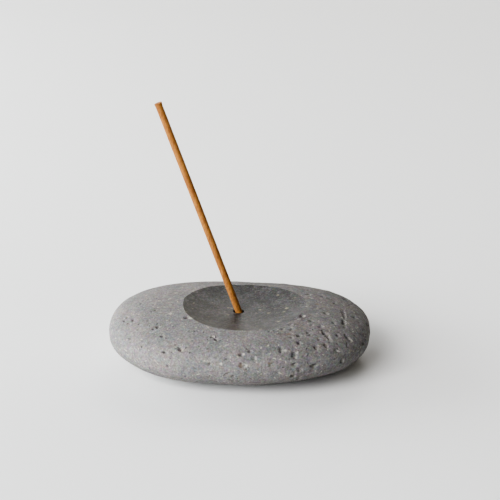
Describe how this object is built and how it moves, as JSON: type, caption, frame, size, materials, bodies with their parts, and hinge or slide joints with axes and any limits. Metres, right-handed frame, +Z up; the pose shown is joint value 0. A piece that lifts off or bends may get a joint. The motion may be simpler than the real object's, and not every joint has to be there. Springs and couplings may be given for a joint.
{
  "type": "incense burner",
  "caption": "Smooth flattened river pebble with a shallow ground ash dish on top and a leaning incense stick in a small hole in the dish.",
  "frame": {"origin": "on the surface the stone stands on, in the middle of its flat resting face and under the middle of its length and width", "axes": "+Z up, +X along the stone's length, -Y towards its front, with the stick leaning towards -X"},
  "size_m": [0.1034, 0.0766, 0.1066],
  "materials": {
    "stone": "matte grey basalt, honed darker in the dish",
    "incense": "matte, grainy orange-brown incense paste"
  },
  "bodies": {
    "stone": {"stone_body": "stone"},
    "stick": {"incense_stick": "incense"}
  },
  "joints": [
    {"name": "stick_lift", "type": "slide", "parent": "stone", "child": "stick", "axis": [-0.3338, 0, 0.9426], "range_m": [0, 0.02]}
  ]
}
